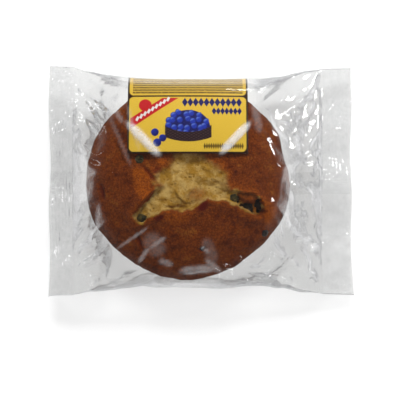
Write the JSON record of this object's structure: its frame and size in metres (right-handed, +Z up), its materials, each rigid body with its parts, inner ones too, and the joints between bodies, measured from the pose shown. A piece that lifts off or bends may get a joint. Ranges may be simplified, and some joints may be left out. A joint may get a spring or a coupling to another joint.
{
  "type": "wrapped blueberry muffin",
  "caption": "Round, flat-domed blueberry muffin sealed in a clear crimped flow-wrap film, with a plain yellow paper label folded over one edge of its crown.",
  "frame": {"origin": "on the surface that the pack lies on, under the middle of the pack's length and width", "axes": "+X along the pack from one end seal to the other, the muffin lies nearer the -X seal; +Y towards the edge that the label folds over; +Z up through the crown"},
  "size_m": [0.1624, 0.1234, 0.0426],
  "materials": {
    "crust": "matte",
    "berry": "satin",
    "label_paper": "satin",
    "clear_film": "gloss"
  },
  "bodies": {
    "root": {"muffin": "crust", "blueberry_rift_left": "berry", "blueberry_rift_middle": "berry", "blueberry_rift_right": "berry", "blueberry_front_left": "berry", "blueberry_back_left": "berry", "blueberry_front_right": "berry", "blueberry_front": "berry", "label": "label_paper", "film_wrapper": "clear_film"}
  },
  "joints": []
}
